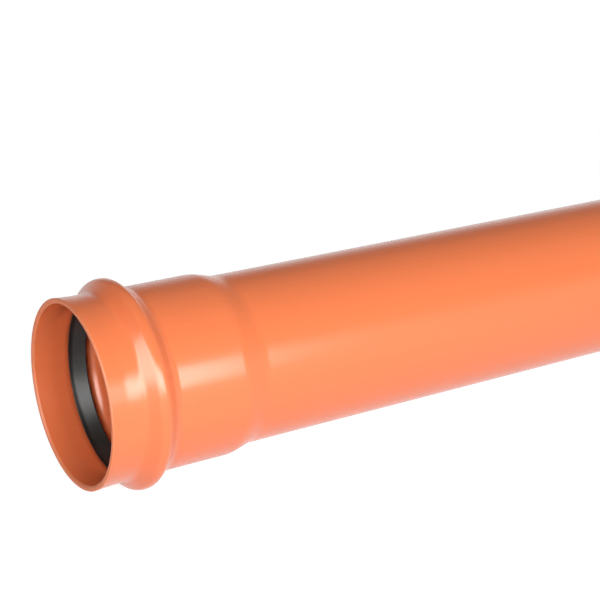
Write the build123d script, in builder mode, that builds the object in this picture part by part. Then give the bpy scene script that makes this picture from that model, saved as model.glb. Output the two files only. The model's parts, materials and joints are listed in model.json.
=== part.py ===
"""Sewer pipe of unplasticised PVC: a plain spigot at one end, a belled ring-seal socket at the other.

Millimetres, +Z up. The pipe lies along X with the mouth of its socket facing -X, and the origin is on the
floor under the middle of its length. The raised bead of the socket is what touches the floor.
"""
import os

from build123d import *

# Barrel
pipe_diameter = 110.0       # outside
wall = 3.4                  # kept all the way through the socket
laying_length = 1000.0      # the length it is sold by, from the stop in the socket to the end of the spigot

# Spigot
spigot_chamfer_length = 6.0
spigot_chamfer_depth = 1.6
spigot_inner_chamfer = 0.4

# Socket: stations along the pipe from its mouth, clearances on the diameter
socket_clearance = 1.0      # over the spigot that goes in
socket_depth = 94.0         # to the stop, where the neck begins
neck_length = 14.0
neck_round = 24.0
lip_clearance = 2.0         # over the spigot, in the guiding lip in front of the groove
mouth_flare = 1.8           # over the lip, at the mouth
mouth_flare_length = 12.0
mouth_flare_round = 60.0
mouth_trim = 2.0            # sawn off square after the belling
mouth_outer_chamfer = 0.6
mouth_inner_chamfer = 1.2

# Ring groove, which shows outside as the bead
groove_start = 22.8
groove_front_run = 7.0
groove_floor_run = 5.2
groove_back_run = 8.8
groove_depth = 8.0          # outwards from the wall of the socket
groove_round = 1.6
bead_front_round = 5.0      # of the hollow between the bead and the lip
bead_back_round = 9.0       # of the hollow between the bead and the socket

# Sealing ring
ring_clearance = 0.2        # to the wall of the groove
seal_squeeze = 4.0          # how far the lip stands into the way of the spigot, on the radius
seal_lip_thickness = 1.5
ring_shoulder_share = 0.4   # of the flat of the ring's back, taken off each corner
heel_reach_share = 0.6      # of the back of the groove, down from its floor
collar_reach_share = 0.18   # of the length of the groove, from its start
lip_reach_share = 0.55
relief_reach_share = 0.32
relief_height_share = 0.22  # of the depth of the groove, outwards from the wall of the socket

# Derived radii and stations
overall_length = laying_length + socket_depth
pipe_radius = pipe_diameter / 2
socket_radius = (pipe_diameter + socket_clearance) / 2
lip_radius = (pipe_diameter + lip_clearance) / 2
mouth_radius = lip_radius + mouth_flare / 2
belled_radius = mouth_radius + mouth_flare / 2 * mouth_trim / mouth_flare_length
bead_radius = socket_radius + groove_depth + wall
floor_start = groove_start + groove_front_run
floor_end = floor_start + groove_floor_run
groove_end = floor_end + groove_back_run
groove_length = groove_end - groove_start
crown_round = groove_round + wall

# The section is drawn in a plane through the axis: along the pipe from the mouth, and out from the axis
section_plane = Plane(origin=(-overall_length / 2, 0, bead_radius), x_dir=(1, 0, 0), z_dir=(0, -1, 0))
pipe_axis = Axis(section_plane.origin, section_plane.x_dir)

# The outside of the bead, from its front foot over the crown to its back foot
bead_outline = [
    (groove_start, lip_radius + wall),
    (floor_start, bead_radius),
    (floor_end, bead_radius),
    (groove_end, socket_radius + wall),
]


# Pipe: the outside line of the wall from mouth to spigot, thickened inwards and turned about the axis,
# with the mouth then trimmed square and both ends chamfered
with BuildPart() as pipe:
    with BuildSketch(section_plane):
        with BuildLine():
            FilletPolyline(
                (-mouth_trim, belled_radius + wall),
                (mouth_flare_length, lip_radius + wall),
                *bead_outline,
                (socket_depth, socket_radius + wall),
                (socket_depth + neck_length, pipe_radius),
                (overall_length, pipe_radius),
                radius=[
                    mouth_flare_round,
                    bead_front_round,
                    crown_round,
                    crown_round,
                    bead_back_round,
                    neck_round,
                    neck_round,
                ],
            )
            offset(amount=wall, side=Side.RIGHT)
        make_face()
    revolve(axis=pipe_axis)
    split(bisect_by=Plane(origin=section_plane.origin, z_dir=section_plane.x_dir), keep=Keep.TOP)

    mouth_rims = pipe.faces().sort_by(Axis.X)[0].edges().sort_by(SortBy.RADIUS)
    chamfer(mouth_rims[0], length=mouth_inner_chamfer)
    mouth_rims = pipe.faces().sort_by(Axis.X)[0].edges().sort_by(SortBy.RADIUS)
    chamfer(mouth_rims[-1], length=mouth_outer_chamfer)

    spigot_end = pipe.faces().sort_by(Axis.X)[-1]
    spigot_rims = spigot_end.edges().sort_by(SortBy.RADIUS)
    chamfer(spigot_rims[-1], length=spigot_chamfer_depth, length2=spigot_chamfer_length, reference=spigot_end)
    spigot_rims = pipe.faces().sort_by(Axis.X)[-1].edges().sort_by(SortBy.RADIUS)
    chamfer(spigot_rims[0], length=spigot_inner_chamfer)


# Sealing ring: its back lies along the wall of the groove, and behind a short collar its lip leans inwards
# and away from the mouth, with a relief behind it that lets it give way to the spigot
with BuildPart() as sealing_ring:
    with BuildSketch(section_plane) as ring_section:
        with BuildLine():
            heel_station = floor_end + heel_reach_share * groove_back_run
            heel_radius = bead_radius - heel_reach_share * groove_depth
            Polyline(*bead_outline[:-1], (heel_station, heel_radius))
            ring_back = offset(
                amount=wall + ring_clearance, side=Side.RIGHT, closed=False, mode=Mode.REPLACE
            )
            ring_flat = ring_back.edges().sort_by(Axis.Y)[-1]
            lip_end = groove_start + lip_reach_share * groove_length
            lip_tip_radius = pipe_radius - seal_squeeze
            relief_station = groove_start + relief_reach_share * groove_length
            relief_radius = socket_radius + relief_height_share * groove_depth
            Polyline(
                ring_back @ 0,
                (groove_start, lip_radius + ring_clearance),
                (groove_start + collar_reach_share * groove_length, socket_radius),
                (lip_end, lip_tip_radius),
                (lip_end + seal_lip_thickness / 2, lip_tip_radius + seal_lip_thickness),
                (relief_station, relief_radius),
                ring_back @ 1,
            )
        make_face()
        ring_shoulders = ring_section.vertices().group_by(Axis.Y)[-1]
        chamfer(ring_shoulders, length=ring_shoulder_share * ring_flat.length)
    revolve(axis=pipe_axis)


os.makedirs("parts", exist_ok=True)

pipe.part.label = "pipe"
export_step(pipe.part, "parts/pipe.step")

sealing_ring.part.label = "sealing_ring"
export_step(sealing_ring.part, "parts/sealing_ring.step")
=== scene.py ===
"""Looks of an orange PVC sewer pipe with a belled ring-seal socket, lying on a pale studio floor.

Metres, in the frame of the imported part: the pipe lies along X with the mouth of its socket facing -X, and
+Z is up. A section is drawn as points of (station, radius): along the pipe from its mouth, and out from its
axis.
"""

import json
import math

import bpy
import numpy as np
from mathutils import Matrix, Vector


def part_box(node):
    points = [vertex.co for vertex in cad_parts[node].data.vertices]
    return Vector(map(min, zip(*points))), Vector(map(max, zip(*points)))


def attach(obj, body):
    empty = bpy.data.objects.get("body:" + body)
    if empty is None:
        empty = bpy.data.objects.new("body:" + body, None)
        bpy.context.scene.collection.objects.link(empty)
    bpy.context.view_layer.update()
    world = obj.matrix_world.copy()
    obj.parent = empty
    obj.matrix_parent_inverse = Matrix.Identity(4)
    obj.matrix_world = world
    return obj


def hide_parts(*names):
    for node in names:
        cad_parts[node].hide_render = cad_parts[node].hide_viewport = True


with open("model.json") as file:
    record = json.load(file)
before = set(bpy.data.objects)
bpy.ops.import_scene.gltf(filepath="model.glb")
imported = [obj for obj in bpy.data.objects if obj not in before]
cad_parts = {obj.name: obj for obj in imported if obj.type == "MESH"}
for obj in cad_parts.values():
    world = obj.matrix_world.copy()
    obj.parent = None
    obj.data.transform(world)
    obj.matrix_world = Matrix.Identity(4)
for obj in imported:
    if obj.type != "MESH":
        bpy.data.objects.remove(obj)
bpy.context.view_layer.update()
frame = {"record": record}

MM = 0.001

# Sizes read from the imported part
mounts = {mount["name"]: mount["dims"] for mount in frame["record"]["mounts"]}
pipe_low, pipe_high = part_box("pipe")
mouth_x = pipe_low.x
pipe_length = pipe_high.x - pipe_low.x
axis_height = (pipe_low.z + pipe_high.z) / 2
bead_radius = (pipe_high.z - pipe_low.z) / 2
pipe_radius = mounts["spigot"]["r_mm"] * MM
lip_radius = mounts["socket"]["r_mm"] * MM

# Pipe
wall = 3.4 * MM
bore_radius = pipe_radius - wall
socket_radius = 55.5 * MM       # bore of the socket
mouth_radius = 56.9 * MM        # bore at the mouth
mouth_flare_length = 12 * MM
mouth_flare_round = 60 * MM
socket_depth = 94 * MM
neck_length = 14 * MM
neck_round = 24 * MM
groove_start = 22.8 * MM
groove_floor_start = 29.8 * MM
groove_floor_end = 35 * MM
groove_end = 43.8 * MM
crown_round = 5 * MM
bead_front_round = 5 * MM
bead_back_round = 9 * MM
mouth_outer_chamfer = 0.6 * MM
mouth_inner_chamfer = 1.2 * MM
spigot_chamfer_length = 6 * MM
spigot_chamfer_start = pipe_length - spigot_chamfer_length
spigot_chamfer_depth = 1.6 * MM
spigot_inner_chamfer = 0.4 * MM
cut_edge_round = 0.25 * MM      # what sawing and turning leave on the edges

# Sealing ring
ring_clearance = 0.2 * MM
heel_reach = 0.6                # of the back of the groove, down from its floor
lip_root_station = 26.58 * MM
lip_root_round = 7 * MM
lip_tip_station = 34.35 * MM
lip_tip_radius = 51 * MM
lip_thickness = 1.5 * MM
relief_station = 29.52 * MM
relief_radius = 57.26 * MM
ring_edge_round = 0.45 * MM

# Fineness of the meshes
AROUND = 256                    # steps round the axis
ARC_STEPS = 10                  # steps in each rounded corner
LONGEST_RUN = 20 * MM           # of a mesh face, along the pipe

# Orange PVC: colours have their alpha, and marks may be drawn out along the pipe by that many times
pvc_deep = (0.89, 0.208, 0.071, 1)
pvc_light = (0.93, 0.234, 0.088, 1)
pvc_ior = 1.54
pvc_roughness = 0.17
flow_width = 9 * MM             # streaks that the melt leaves in colour and gloss
flow_drawn_out = 60
flow_share = 0.7                # of the tone, the rest being clouds
flow_roughness = 0.05
cloud_width = 60 * MM
cloud_drawn_out = 3
line_width = 1.1 * MM           # extrusion lines
line_drawn_out = 400
line_height = 0.006 * MM
line_loss = 0.8                 # share of the lines that the belling smooths away
skin_width = 5 * MM             # unevenness of the skin
skin_height = 0.8               # in heights of a line
belled_roughness = 0.05         # of the uneven skin in the belled socket

# Cuts in the PVC, sawn at the mouth and turned at the spigot
cut_deep = (0.78, 0.195, 0.068, 1)
cut_light = (0.86, 0.245, 0.100, 1)
cut_roughness = 0.25            # above that of the skin
tool_mark_width = 0.25 * MM
tool_mark_height = 4.0          # in heights of a line
tool_mark_roughness = 0.1
mouth_cut_border = 0.12 * MM    # over which the cut fades into the skin
spigot_cut_border = 0.18 * MM
bore_cut_border = 0.1 * MM

# Black rubber
rubber_deep = (0.011, 0.010, 0.009, 1)
rubber_bloomed = (0.020, 0.018, 0.018, 1)
rubber_ior = 1.42
rubber_roughness = 0.30
rubber_relief = 0.02 * MM
bloom_width = 14 * MM
bloom_detail = 4.0
bloom_start = 0.4               # levels of the noise between which the bloom sets in
bloom_full = 0.8
bloom_roughness = 0.12
mould_ring_width = 0.5 * MM
mould_ring_share = 0.6          # of the relief, the rest being grain
grain_width = 0.35 * MM

# Camera, at the photograph's viewing angle
camera_place = Vector((-0.90243, -0.83482, 0.45176))
camera_heading = Vector((0.4981, 0.79813, -0.33894))
camera_lens = 95.71             # millimetres
camera_sensor = 36.0            # millimetres

# Studio
plain_white = (1, 1, 1, 1)
floor_reach = 8.0
floor_paper = (0.7, 0.7, 0.7, 1)        # what the floor sends back as soft light
floor_shaded = (0.35, 0.35, 0.35, 1)    # what it shows of the lamps' light, so that it keeps a shadow
floor_glow = (0.88, 0.88, 0.88, 1)      # what it adds to that round the pipe
glow_start = 1.0                # distances between which the glow goes up to white
glow_full = 2.5
floor_mirrored = 0.8            # share of the seen floor that reflections show
room_light = 0.15
ceiling_start = 0.0             # rises of a ray between which the walls become ceiling
ceiling_full = 0.5
ceiling_dimming = 0.85

# Places on the pipe that the panels face
mouth_side = Vector((-0.53, -0.04, 0.085))
barrel_side = Vector((-0.33, -0.055, 0.089))
far_side = Vector((0.23, -0.055, 0.089))
pipe_middle = Vector((0.0, 0.0, 0.07))


def unit_runs(corners):
    """The direction of the run from each corner to the next, with length 1."""
    runs = np.diff(corners, axis=0)
    return runs / np.linalg.norm(runs, axis=1, keepdims=True)


def inset(corners, depth):
    """An open line of corners moved by depth towards the axis, each run staying parallel to itself.

    With n and m as the normals of the runs before and after it, a corner moves by depth (n + m) / (1 + n.m).
    """
    along = unit_runs(corners)
    normals = np.stack([along[:, 1], -along[:, 0]], axis=1)
    before = np.vstack([normals[:1], normals])
    after = np.vstack([normals, normals[-1:]])
    shared = 1 + np.sum(before * after, axis=1, keepdims=True)
    return corners + depth * (before + after) / shared


def rounded(corners, rounds):
    """The closed outline through corners, each cut by an arc of its own radius, and its headings.

    With d as the direction into a corner and t as the turn there, the arc starts r tan(t / 2) before it. At
    the share u of the turn it is at start + r (d sin(tu) + side (1 - cos(tu))), where side is d turned by a
    quarter towards the turn, and heads along d cos(tu) + side sin(tu).
    """
    into = unit_runs(np.vstack([corners[-1:], corners]))
    out_of = np.roll(into, -1, axis=0)
    left = np.stack([-into[:, 1], into[:, 0]], axis=1)
    turn = np.arctan2(np.sum(left * out_of, axis=1), np.sum(into * out_of, axis=1))
    start = corners - into * (rounds * np.tan(np.abs(turn) / 2))[:, None]
    side = left * np.sign(turn)[:, None]
    swept = np.abs(turn)[:, None, None] * np.linspace(0, 1, ARC_STEPS + 1)[None, :, None]
    into, side = into[:, None], side[:, None]
    reach = into * np.sin(swept) + side * (1 - np.cos(swept))
    points = start[:, None] + rounds[:, None, None] * reach
    headings = into * np.cos(swept) + side * np.sin(swept)
    return points.reshape(-1, 2), headings.reshape(-1, 2)


def divided(points, headings):
    """The same closed outline with points added along straight runs that are over LONGEST_RUN."""
    runs = np.roll(points, -1, axis=0) - points
    pieces = np.maximum(np.ceil(np.linalg.norm(runs, axis=1) / LONGEST_RUN), 1).astype(int)
    start = np.repeat(np.arange(len(points)), pieces)
    first = np.repeat(np.cumsum(pieces) - pieces, pieces)
    share = (np.arange(pieces.sum()) - first) / pieces[start]
    return points[start] + runs[start] * share[:, None], headings[start]


def carried_round(along, outward):
    """What the section gives along and out from the axis, carried once round it in equal steps.

    At the angle a it is (along, outward sin a, outward cos a).
    """
    angle = np.linspace(0, 2 * np.pi, AROUND, endpoint=False)[:, None]
    along = np.broadcast_to(along, (AROUND, len(along)))
    return np.stack([along, outward * np.sin(angle), outward * np.cos(angle)], axis=-1)


def turned(name, points, headings):
    """A closed outline carried round the pipe's axis, as a closed skin.

    A point's normal is its heading turned a quarter to the left in the section, and carried round with it.
    """
    skin = carried_round(*points.T) + (mouth_x, 0, axis_height)
    normals = carried_round(-headings[:, 1], headings[:, 0])

    here = np.arange(skin.shape[0] * skin.shape[1]).reshape(skin.shape[:2])
    further = np.roll(here, -1, axis=1)
    faces = np.stack([here, further, np.roll(further, -1, axis=0), np.roll(here, -1, axis=0)], axis=-1)

    mesh = bpy.data.meshes.new(name)
    mesh.from_pydata(skin.reshape(-1, 3).tolist(), [], faces.reshape(-1, 4).tolist())
    mesh.shade_smooth()
    mesh.normals_split_custom_set_from_vertices(normals.reshape(-1, 3).tolist())
    piece = bpy.data.objects.new(name, mesh)
    bpy.context.scene.collection.objects.link(piece)
    return piece


# The outside of the socket's bead, from its front foot over the crown to its back foot
bead_line = np.array([
    (groove_start, lip_radius + wall),
    (groove_floor_start, bead_radius),
    (groove_floor_end, bead_radius),
    (groove_end, socket_radius + wall),
])


def pipe_section():
    """The wall of the pipe: its outside line, the end of the spigot, its inside line and the mouth.

    The inside is the outside moved in by the wall, which takes the wall off the radius of a bend that bulges
    outwards and adds it to that of a hollow one.
    """
    outside = np.vstack([
        (0, mouth_radius + wall),
        (mouth_flare_length, lip_radius + wall),
        bead_line,
        (socket_depth, socket_radius + wall),
        (socket_depth + neck_length, pipe_radius),
        (pipe_length, pipe_radius),
    ])
    inside = inset(outside, wall)
    outer_rounds = np.array([
        mouth_flare_round,
        bead_front_round,
        crown_round,
        crown_round,
        bead_back_round,
        neck_round,
        neck_round,
    ])
    bulges = np.array([-1, -1, 1, 1, -1, 1, -1])
    inner_rounds = outer_rounds - wall * bulges

    spigot = np.array([
        (spigot_chamfer_start, pipe_radius),
        (pipe_length, pipe_radius - spigot_chamfer_depth),
        (pipe_length, bore_radius + spigot_inner_chamfer),
        (pipe_length - spigot_inner_chamfer, bore_radius),
    ])
    flare = (mouth_radius - lip_radius) / mouth_flare_length
    mouth = np.array([
        (mouth_inner_chamfer, mouth_radius - flare * mouth_inner_chamfer),
        (0, mouth_radius + mouth_inner_chamfer),
        (0, mouth_radius + wall - mouth_outer_chamfer),
        (mouth_outer_chamfer, mouth_radius + wall - flare * mouth_outer_chamfer),
    ])
    corners = np.vstack([outside[1:-1], spigot, inside[-2:0:-1], mouth])
    cut_rounds = np.full(len(spigot), cut_edge_round)
    rounds = np.concatenate([outer_rounds, cut_rounds, inner_rounds[::-1], cut_rounds])
    return divided(*rounded(corners, rounds))


def ring_section():
    """The sealing ring: its back along the groove, the relief, the lip leaning inwards, and the collar."""
    heel = bead_line[-2] + heel_reach * (bead_line[-1] - bead_line[-2])
    back = inset(np.vstack([bead_line[:-1], heel]), wall + ring_clearance)
    shoulder_round = crown_round - wall - ring_clearance
    back_rounds = [ring_edge_round, shoulder_round, shoulder_round, ring_edge_round]
    front = np.array([
        (relief_station, relief_radius),
        (lip_tip_station + lip_thickness / 2, lip_tip_radius + lip_thickness),
        (lip_tip_station, lip_tip_radius),
        (lip_root_station, socket_radius),
        (groove_start, lip_radius + ring_clearance),
    ])
    front_rounds = [ring_edge_round, ring_edge_round, ring_edge_round, lip_root_round, ring_edge_round]
    return divided(*rounded(np.vstack([back, front]), np.array(back_rounds + front_rounds)))


class Number:
    """A value that varies over a surface: an output socket whose operators add Math nodes to its tree."""

    def __init__(self, nodes, socket):
        self.nodes = nodes
        self.socket = socket

    def math(self, operation, *values):
        """A Math node that does the operation on the values."""
        return self.nodes.add("ShaderNodeMath", {"operation": operation}, dict(enumerate(values)))

    def __add__(self, other):
        return self.math("ADD", self, other)

    def __sub__(self, other):
        return self.math("SUBTRACT", self, other)

    def __rsub__(self, other):
        return self.math("SUBTRACT", other, self)

    def __mul__(self, other):
        return self.math("MULTIPLY", self, other)

    __radd__ = __add__
    __rmul__ = __mul__

    def length_with(self, other):
        """The root of the sum of both squares."""
        return self.math("SQRT", self * self + other * other)

    def larger(self, other):
        """The larger of the two."""
        return self.math("MAXIMUM", self, other)

    def rising(self, low, high):
        """0 below low, 1 above high and a smooth step between."""
        return self.nodes.add(
            "ShaderNodeMapRange",
            {"interpolation_type": "SMOOTHSTEP"},
            {"Value": self, "From Min": low, "From Max": high},
        )


class Nodes:
    """The node tree of a material or the world. add() makes any node in it."""

    def __init__(self, owner):
        owner.use_nodes = True
        self.tree = owner.node_tree
        self.tree.nodes.clear()

    def add(self, kind, settings=None, sockets=None, output=0):
        """A node of that kind: its settings are set first, then its sockets get their values or links."""
        node = self.tree.nodes.new(kind)
        for name, value in (settings or {}).items():
            setattr(node, name, value)
        for name, value in (sockets or {}).items():
            if isinstance(value, Number):
                self.tree.links.new(value.socket, node.inputs[name])
            else:
                node.inputs[name].default_value = value
        return Number(self, node.outputs[output]) if node.outputs else None

    def place(self):
        """The point on the piece, as a vector and as its three numbers."""
        point = self.add("ShaderNodeTexCoord", output="Object")
        return (point, *[
            self.add("ShaderNodeSeparateXYZ", sockets={"Vector": point}, output=axis) for axis in "XYZ"
        ])

    def noise(self, point, width, drawn_out=1.0, detail=2.0):
        """Soft noise from 0 to 1 in spots of about that width, drawn out that many times along X."""
        drawn = self.add("ShaderNodeVectorMath", {"operation": "DIVIDE"}, {0: point, 1: (drawn_out, 1, 1)})
        return self.add("ShaderNodeTexNoise", sockets={"Vector": drawn, "Scale": 1 / width, "Detail": detail})

    def mixed(self, share, first, second):
        """The colour that goes from first to second with the share."""
        return self.add("ShaderNodeMix", {"data_type": "RGBA"}, {0: share, 6: first, 7: second}, output=2)

    def bump(self, distance, height):
        """The normal of a relief whose height is given in multiples of the distance."""
        return self.add("ShaderNodeBump", sockets={"Strength": 1.0, "Distance": distance, "Height": height})

    def surface(self, shader):
        """Makes the shader the material's surface."""
        self.add("ShaderNodeOutputMaterial", sockets={"Surface": shader})


def pvc():
    """Orange PVC: extrusion lines along the barrel, a softer skin on the belled socket, and matt cuts."""
    material = bpy.data.materials.new("orange_pvc")
    nodes = Nodes(material)
    point, x, y, z = nodes.place()
    station = x - mouth_x
    radius = y.length_with(z - axis_height)

    belled = 1 - station.rising(socket_depth, socket_depth + neck_length)
    sawn_mouth = 1 - station.rising(mouth_inner_chamfer - mouth_cut_border, mouth_inner_chamfer)
    spigot_end = station.rising(spigot_chamfer_start, spigot_chamfer_start + spigot_cut_border)
    off_the_bore = radius.rising(bore_radius, bore_radius + bore_cut_border)
    cut = sawn_mouth.larger(spigot_end * off_the_bore)

    flow = nodes.noise(point, flow_width, flow_drawn_out)
    cloud = nodes.noise(point, cloud_width, cloud_drawn_out)
    lines = nodes.noise(point, line_width, line_drawn_out)
    skin = nodes.noise(point, skin_width)
    section_point = nodes.add("ShaderNodeCombineXYZ", sockets={"X": station, "Y": radius})
    tool_marks = nodes.noise(section_point, tool_mark_width)

    tone = flow_share * flow + (1 - flow_share) * cloud
    skin_colour = nodes.mixed(tone, pvc_deep, pvc_light)
    cut_colour = nodes.mixed(tool_marks, cut_deep, cut_light)
    skin_roughness = pvc_roughness + flow_roughness * flow + belled_roughness * belled * skin
    added_roughness = cut_roughness + tool_mark_roughness * tool_marks
    skin_relief = (1 - line_loss * belled) * lines + skin_height * skin
    relief = (1 - cut) * skin_relief + tool_mark_height * cut * tool_marks
    nodes.surface(nodes.add("ShaderNodeBsdfPrincipled", sockets={
        "Base Color": nodes.mixed(cut, skin_colour, cut_colour),
        "Roughness": skin_roughness + cut * added_roughness,
        "IOR": pvc_ior,
        "Normal": nodes.bump(line_height, relief),
    }))
    return material


def rubber():
    """Black moulded rubber: faint rings left by the turned mould, and a little grey bloom."""
    material = bpy.data.materials.new("black_rubber")
    nodes = Nodes(material)
    point, x, y, z = nodes.place()
    radius = y.length_with(z - axis_height)
    section_point = nodes.add("ShaderNodeCombineXYZ", sockets={"X": x, "Y": radius})
    mould_rings = nodes.noise(section_point, mould_ring_width)
    bloom = nodes.noise(point, bloom_width, detail=bloom_detail)
    grain = nodes.noise(point, grain_width)
    relief = mould_ring_share * mould_rings + (1 - mould_ring_share) * grain
    nodes.surface(nodes.add("ShaderNodeBsdfPrincipled", sockets={
        "Base Color": nodes.mixed(bloom.rising(bloom_start, bloom_full), rubber_deep, rubber_bloomed),
        "Roughness": rubber_roughness + bloom_roughness * bloom,
        "IOR": rubber_ior,
        "Normal": nodes.bump(rubber_relief, relief),
    }))
    return material


def facing(place, heading, own_axis):
    """Stands a thing at the place with its own axis along the heading, and its own Y turned upwards."""
    return Matrix.Translation(place) @ heading.to_track_quat(own_axis, "Y").to_matrix().to_4x4()


def photo_camera():
    """The camera that sees the pipe as the photograph does."""
    camera = bpy.data.objects.new("camera", bpy.data.cameras.new("camera"))
    camera.data.lens = camera_lens
    camera.data.sensor_width = camera_sensor
    camera.matrix_world = facing(camera_place, camera_heading, "-Z")
    bpy.context.scene.collection.objects.link(camera)
    bpy.context.scene.camera = camera


def seen_directly(nodes, mirrored=1.0):
    """1 for rays of the camera and through clear things, that share for reflections, 0 for soft light."""
    camera_ray = nodes.add("ShaderNodeLightPath", output="Is Camera Ray")
    clear_ray = nodes.add("ShaderNodeLightPath", output="Is Transmission Ray")
    mirror_ray = nodes.add("ShaderNodeLightPath", output="Is Glossy Ray")
    return camera_ray.larger(clear_ray).larger(mirrored * mirror_ray)


def studio_floor():
    """A white floor that touches the bead and the foot of the spigot, as under a pipe that lies at rest.

    It is grey paper to soft light. To the camera it glows, and goes up to white where no shadow falls.
    """
    bead_x = mouth_x + groove_floor_end
    spigot_x = mouth_x + spigot_chamfer_start
    slope = (bead_radius - pipe_radius) / (spigot_x - bead_x)
    corners = np.array([(-1, -1), (1, -1), (1, 1), (-1, 1)]) * floor_reach
    heights = slope * (corners[:, 0] - bead_x)
    mesh = bpy.data.meshes.new("floor")
    mesh.from_pydata(np.column_stack([corners, heights]).tolist(), [], [(0, 1, 2, 3)])
    floor = bpy.data.objects.new("floor", mesh)
    bpy.context.scene.collection.objects.link(floor)

    material = bpy.data.materials.new("white_floor")
    nodes = Nodes(material)
    x, y = nodes.place()[1:3]
    far = x.length_with(y).rising(glow_start, glow_full)
    glow = nodes.add("ShaderNodeEmission", sockets={"Color": nodes.mixed(far, floor_glow, plain_white)})
    shaded = nodes.add("ShaderNodeBsdfDiffuse", sockets={"Color": floor_shaded})
    shown = nodes.add("ShaderNodeAddShader", sockets={0: shaded, 1: glow})
    paper = nodes.add("ShaderNodeBsdfDiffuse", sockets={"Color": floor_paper})
    seen = seen_directly(nodes, floor_mirrored)
    nodes.surface(nodes.add("ShaderNodeMixShader", sockets={0: seen, 1: paper, 2: shown}))
    mesh.materials.append(material)


def studio_room():
    """A dim room: white to the camera, and in reflections white at the horizon and grey overhead."""
    world = bpy.data.worlds.new("room")
    bpy.context.scene.world = world
    nodes = Nodes(world)
    direction = nodes.add("ShaderNodeTexCoord", output="Generated")
    rise = nodes.add("ShaderNodeSeparateXYZ", sockets={"Vector": direction}, output="Z")
    camera_ray = nodes.add("ShaderNodeLightPath", output="Is Camera Ray")
    walls = 1 - ceiling_dimming * rise.rising(ceiling_start, ceiling_full)
    seen = camera_ray.larger(seen_directly(nodes) * walls)
    background = nodes.add("ShaderNodeBackground", sockets={
        "Color": plain_white, "Strength": seen.larger(room_light)
    })
    nodes.add("ShaderNodeOutputWorld", sockets={"Surface": background})


def panel(name, aim, azimuth, elevation, distance, size, radiance, diffuse=True, glossy=True):
    """A soft panel that faces its aim from a distance, and may give only soft light or only reflections.

    Its azimuth turns from -Y towards +X, and both angles are in degrees.
    """
    lamp = bpy.data.lights.new(name, "AREA")
    lamp.shape = "RECTANGLE"
    lamp.size, lamp.size_y = size
    lamp.energy = radiance * math.pi * lamp.size * lamp.size_y
    azimuth = math.radians(azimuth)
    elevation = math.radians(elevation)
    level = Vector((math.sin(azimuth), -math.cos(azimuth), 0))
    back = level * math.cos(elevation) + Vector((0, 0, math.sin(elevation)))
    light = bpy.data.objects.new(name, lamp)
    light.matrix_world = facing(aim + back * distance, back, "Z")
    light.visible_diffuse = diffuse
    light.visible_glossy = glossy
    light.visible_camera = False
    bpy.context.scene.collection.objects.link(light)


pipe = turned("pipe_skin", *pipe_section())
pipe.data.materials.append(pvc())
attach(pipe, "root")
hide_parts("pipe")

ring = turned("sealing_ring_skin", *ring_section())
ring.data.materials.append(rubber())
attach(ring, "root")
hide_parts("sealing_ring")

photo_camera()
studio_floor()
studio_room()
panel(
    "window_panel", barrel_side, azimuth=0, elevation=20.5, distance=1.6,
    size=(0.94, 0.65), radiance=10.0,
)
panel(
    "end_panel", far_side, azimuth=0, elevation=15, distance=1.6,
    size=(0.18, 0.68), radiance=11.5, diffuse=False,
)
panel(
    "side_panel", mouth_side, azimuth=-40, elevation=21.5, distance=1.6,
    size=(0.86, 0.7), radiance=7.3, glossy=False,
)
# Nearer than the side panel, because panels in one place hide each other in reflections
panel(
    "side_sheen", mouth_side, azimuth=-48, elevation=22.5, distance=1.5,
    size=(2.35, 0.98), radiance=7.0, diffuse=False,
)
panel(
    "back_panel", pipe_middle, azimuth=155, elevation=6, distance=2.5,
    size=(3.0, 0.6), radiance=6.0, glossy=False,
)

bpy.context.scene.view_settings.view_transform = "Standard"
